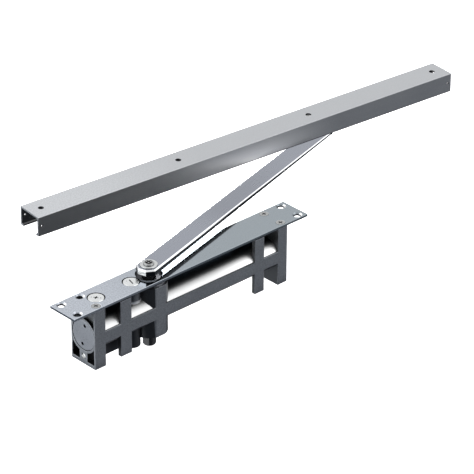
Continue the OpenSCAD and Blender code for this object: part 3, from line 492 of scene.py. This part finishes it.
# Slots and holes that get painted shade: a point on the axis, the axis, the radius, and where it
# starts and ends
RECESSES = {
    "face_plate": [((x, y, 0.0), 2, 0.0033, 0.0001, 0.0012) for x, y in HOLE_PLACES]
                  + [((x, 0.0, 0.0), 2, 0.0086, 0.0001, 0.00249) for x in (SWEEP_X, LATCH_X)],
    "sweep_valve": [((SWEEP_X, 0.0, 0.0), 2, 0.005, 0.0012, 0.0024)],
    "latch_valve": [((LATCH_X, 0.0, 0.0), 2, 0.005, 0.0012, 0.0024)],
    "arm_screw": [((ARM_X, 0.0, 0.0), 2, 0.0034, 0.0130, 0.0146)],
    "fixing_screws": [((x, y, 0.0), 2, 0.0026, 0.0012, 0.0024) for x, y in SCREW_PLACES],
    "end_cap_left": [(spanner_hole(side), 0, 0.00175, -0.1144, -0.1120) for side in (-1, 1)],
    "end_cap_right": [(spanner_hole(side), 0, 0.00175, 0.1098, 0.1122) for side in (-1, 1)],
}


def is_rounding(face, width):
    """Whether a face is part of an edge's rounding: narrow and small for the width."""
    narrow = min(e.calc_length() for e in face.edges) < 1.6 * width
    return narrow and face.calc_area() < 60 * width * width


def in_recess(node, face):
    """Whether a face lies in one of the node's slots or holes, which get painted shade."""
    centre = face.calc_center_median()
    for at, axis, radius, start, end in RECESSES.get(node, ()):
        across = [centre[i] - at[i] for i in range(3) if i != axis]
        if start < centre[axis] < end and math.hypot(*across) < radius:
            return True
    return False


def on_barrel(face):
    """Whether a face of the casting is the cylinder's round outside, above its flat rails."""
    y, z = face.calc_center_median()[1:]
    round_side = abs(math.hypot(y, z - CYLINDER_Z) - CYLINDER_RADIUS) < 0.0003
    return round_side and z > CYLINDER_FLAT_Z and abs(face.normal.x) < 0.2


def under_cylinder(face):
    """Whether a face lies in the dark between the legs, below the cylinder."""
    x, y, z = face.calc_center_median()
    return x > -0.102 and abs(y) < 0.0150 and z < -0.037


def on_boss(face):
    """Whether a face is the round side of the boss of the latching valve."""
    x, y, z = face.calc_center_median()
    return (abs(math.hypot(x - LATCH_X, y) - LATCH_BOSS_RADIUS) < 0.0004
            and -0.0175 < z < -0.0004)


def behind_boss(face):
    """Whether a face lies in the narrow gap between that boss and the spindle's housing."""
    x, y, z = face.calc_center_median()
    return -0.056 < x < -0.0445 and z > -0.020 and face.normal.x < -0.35 and not on_boss(face)


def in_channel(face):
    """Whether a face of the rail looks into its channel or lines a hole: little light comes."""
    out = face.calc_center_median() - RAIL_MIDDLE
    if abs(face.normal.z) > 0.7:
        return out.z * face.normal.z < 0
    along = Vector((math.cos(RAIL_ANGLE), math.sin(RAIL_ANGLE), 0.0))
    across = Vector((-along.y, along.x, 0.0))
    if abs(face.normal.dot(along)) > 0.2:
        return abs(out.dot(along)) < RAIL_END
    return out.dot(across) * face.normal.dot(across) < -0.001


def catches_light(face):
    """Whether a face is the light side of one of the plate's countersinks that has no screw, which
    gets a painted highlight.
    """
    x, y, z = face.calc_center_median()
    near_hole = any(math.hypot(x - a, y - b) < COUNTERSINK_REACH for a, b in OPEN_HOLES)
    return near_hole and face.normal.y - face.normal.x > 0.55


def arm_zones(face):
    """The marks of a face of the arm."""
    normal = face.normal
    heelward = -normal.x * math.cos(ARM_ANGLE) - normal.y * math.sin(ARM_ANGLE)
    top = normal.z > 0.99
    under = normal.z < -0.99
    upper_edge = 0.3 < normal.z <= 0.99
    heel = -0.3 < normal.z <= 0.3 and heelward > 0.9
    polish = under or upper_edge or heel
    return {"polish": polish, "dull_and_shaded": not (top or polish), "under": under}


def marks_of(node, face, width):
    """The marks of a face. Those left out are 0."""
    marks = {
        "edge": is_rounding(face, width),
        "recess": in_recess(node, face),
        "worn": WORN.get(node, 0.0) if face.calc_center_median().z > WORN_ABOVE else 0.0,
        "side": face.normal.y < -0.9,
    }
    if node == "face_plate":
        # The plate's underside gets painted shade.
        marks["recess"] = marks["recess"] or face.normal.z < -0.9
        marks["sink"] = 0.2 < abs(face.normal.z) < 0.97
        marks["glint"] = marks["sink"] and catches_light(face)
    elif node == "body_casting":
        # These faces get painted shade.
        marks["sink"] = under_cylinder(face) or behind_boss(face)
        marks["barrel"] = on_barrel(face)
        marks["boss"] = on_boss(face)
    elif node == "guide_rail":
        marks["sink"] = in_channel(face)
    elif node == "arm":
        marks.update(arm_zones(face))
    return marks


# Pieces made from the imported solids, with their edges broken as a maker would

MARKS = ("edge", "recess", "worn", "sink", "side", "barrel", "boss", "glint")
ARM_MARKS = ("polish", "dull_and_shaded", "under")
WELD = 2e-5
FLAT_ANGLE = math.radians(0.3)
SHARP_ANGLE = math.radians(28)
CREASE_ANGLE = math.radians(40)
# Widths of the broken edges in millimetres
EDGES = {
    "face_plate": 0.10, "body_casting": 0.25, "guide_rail": 0.20, "arm": 0.15,
    "end_cap_left": 0.30, "end_cap_right": 0.30, "upper_gland": 0.30, "lower_gland": 0.15,
    "spindle": 0.20, "arm_washer": 0.15, "arm_screw": 0.12, "fixing_screws": 0.10,
    "sweep_valve": 0.12, "latch_valve": 0.12, "gallery_plug": 0.45, "drain_plug": 0.20,
    "slider": 0.30, "slider_pin": 0.20, "slider_clip": 0.10, "piston": 0.20,
}


def broken_edges(node, width):
    """The node's shape with its sharp edges rounded to this width. It stands for the node."""
    mesh = nodes[node].data.copy()
    mesh.name = node + "_finished"
    shape = bmesh.new()
    shape.from_mesh(mesh)
    bmesh.ops.remove_doubles(shape, verts=shape.verts, dist=WELD)
    bmesh.ops.dissolve_limit(shape, angle_limit=FLAT_ANGLE, verts=shape.verts, edges=shape.edges)
    sharp = [e for e in shape.edges if e.calc_face_angle() > SHARP_ANGLE]
    bmesh.ops.bevel(shape, geom=sharp, offset=width, offset_type="OFFSET", segments=2,
                    profile=0.5, affect="EDGES", clamp_overlap=False)
    shape.normal_update()
    names = MARKS + ARM_MARKS if node == "arm" else MARKS
    layers = {name: shape.faces.layers.float.new(name) for name in names}
    for face in shape.faces:
        face.smooth = True
        for name, value in marks_of(node, face, width).items():
            face[layers[name]] = float(value)
    for edge in shape.edges:
        edge.smooth = len(edge.link_faces) == 2 and edge.calc_face_angle() < CREASE_ANGLE
    shape.to_mesh(mesh)
    shape.free()
    piece = add_object(node + "_finished", mesh)
    mesh.materials.clear()
    mesh.materials.append(MATERIALS[SLOTS[node]])
    weighted = piece.modifiers.new("weighted", "WEIGHTED_NORMAL")
    weighted.keep_sharp = True
    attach(piece, BODIES[node])
    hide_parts(node)
    return piece


def wound_spring():
    """The main spring, which the piston squeezes against the right end of the cylinder."""
    mesh = nodes["main_spring"].data.copy()
    mesh.name = "main_spring_wound"
    for face in mesh.polygons:
        face.use_smooth = True
    spring = add_object("main_spring_wound", mesh)
    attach(spring, BODIES["main_spring"])
    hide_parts("main_spring")
    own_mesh(spring)


for name, node in nodes.items():
    node.data.materials.clear()
    node.data.materials.append(MATERIALS[SLOTS[name]])
pieces = {name: broken_edges(name, width / 1000) for name, width in EDGES.items()}
wound_spring()


# Floor and light

FLOOR_HALF = 30.0
FLOOR_ROUGH = 0.9
# Light from the ground and from the sky, and the sines of the heights where it changes
LOW = (0.084, 0.101, 0.130)
HIGH = (0.47, 0.477, 0.495)
HORIZON = (-0.25, 0.15)
# Soft boxes of the studio, in degrees: azimuth, elevation, full within, gone beyond. Then the
# strength and the colour.
SOFT_BOXES = (
    (47, 29, 26, 50, 0.80, WHITE),
    (-50, 27, 29, 42, 1.30, WHITE),
    (164, -4, 26, 40, 2.10, (0.97, 0.99, 1.0)),
    (125, 38, 18, 46, 0.80, WHITE),
    (47, -32, 12, 34, 1.00, WHITE),
    (0, 90, 15, 60, 0.60, WHITE),
    (133, -29, 14, 40, 0.07, (0.85, 0.92, 1.0)),
    (-47, -29, 20, 50, 0.155, (1.0, 0.99, 1.0)),
)


def make_floor(z):
    """A pale floor that neither shows in the metal nor lights it."""
    mesh = bpy.data.meshes.new("floor")
    s = FLOOR_HALF
    mesh.from_pydata([(-s, -s, z), (s, -s, z), (s, s, z), (-s, s, z)], [], [(0, 1, 2, 3)])
    floor = add_object("floor", mesh)
    floor.visible_glossy = False
    floor.visible_diffuse = False
    surface = Surface("floor", FLOOR_ROUGH, 0.0)
    surface.bsdf.inputs["Emission Color"].default_value = (1, 1, 1, 1)
    surface.bsdf.inputs["Emission Strength"].default_value = 1.0
    tone = surface.noise((3, 3, 3), detail=2.0)
    mesh.materials.append(surface.finish(surface.mix(tone, (0.89, 0.89, 0.89),
                                                     (0.91, 0.91, 0.91))))


def direction(azimuth, elevation):
    a, e = math.radians(azimuth), math.radians(elevation)
    return (math.cos(a) * math.cos(e), math.sin(a) * math.cos(e), math.sin(e))


def make_world():
    world = bpy.data.worlds.new("world")
    bpy.context.scene.world = world
    world.use_nodes = True
    background = world.node_tree.nodes["Background"]
    sky = Graph(world.node_tree)
    unit = sky.add("ShaderNodeVectorMath", operation="NORMALIZE")
    sky.link(sky.add("ShaderNodeTexCoord").outputs["Generated"], unit.inputs[0])

    def towards(aim):
        """The cosine between a ray and a direction."""
        node = sky.add("ShaderNodeVectorMath", operation="DOT_PRODUCT")
        node.inputs[1].default_value = aim
        sky.link(unit.outputs[0], node.inputs[0])
        return node.outputs["Value"]

    total = sky.mix(sky.smooth(towards((0, 0, 1)), *HORIZON), LOW, HIGH)
    for azimuth, elevation, inner, outer, strength, tint in SOFT_BOXES:
        near = sky.smooth(towards(direction(azimuth, elevation)),
                          math.cos(math.radians(outer)), math.cos(math.radians(inner)))
        total = sky.mix(near, total, tuple(strength * c for c in tint), "ADD")
    sky.link(total, background.inputs["Color"])
    background.inputs["Strength"].default_value = 1.0


def area_light(name, at, target, size, power):
    data = bpy.data.lights.new(name, "AREA")
    data.shape = "RECTANGLE"
    data.size, data.size_y = size
    data.energy = power
    light = add_object(name, data)
    light.location = at
    light.rotation_euler = (Vector(target) - Vector(at)).to_track_quat("-Z", "Y").to_euler()
    return light


def light_only(light, piece):
    """The light reaches only this piece, and only the piece itself can shade it."""
    group = bpy.data.collections.new(light.name + "_pieces")
    group.objects.link(piece)
    light.light_linking.receiver_collection = group
    light.light_linking.blocker_collection = group


# The arm's polished top would mirror these as a dark wedge
for name in ("guide_rail", "slider", "slider_pin", "slider_clip"):
    pieces[name].visible_glossy = False
make_camera()
make_floor(cad_box[0][2])
make_world()
key = area_light("key", (-0.5, 0.5, 1.5), (0.1, 0.05, 0), (1.2, 1.2), 10)
key.visible_glossy = False
under_arm = area_light("under_arm", (0.75, 0.78, -0.62), (0.1, 0.04, 0.005), (0.5, 0.5), 30)
light_only(under_arm, pieces["arm"])
plug_glint = area_light("plug_glint", (-0.415, 0.32, -0.294), (-0.115, 0.0, -0.052),
                        (0.25, 0.25), 0.3)
light_only(plug_glint, pieces["gallery_plug"])
bpy.context.scene.view_settings.view_transform = "Standard"
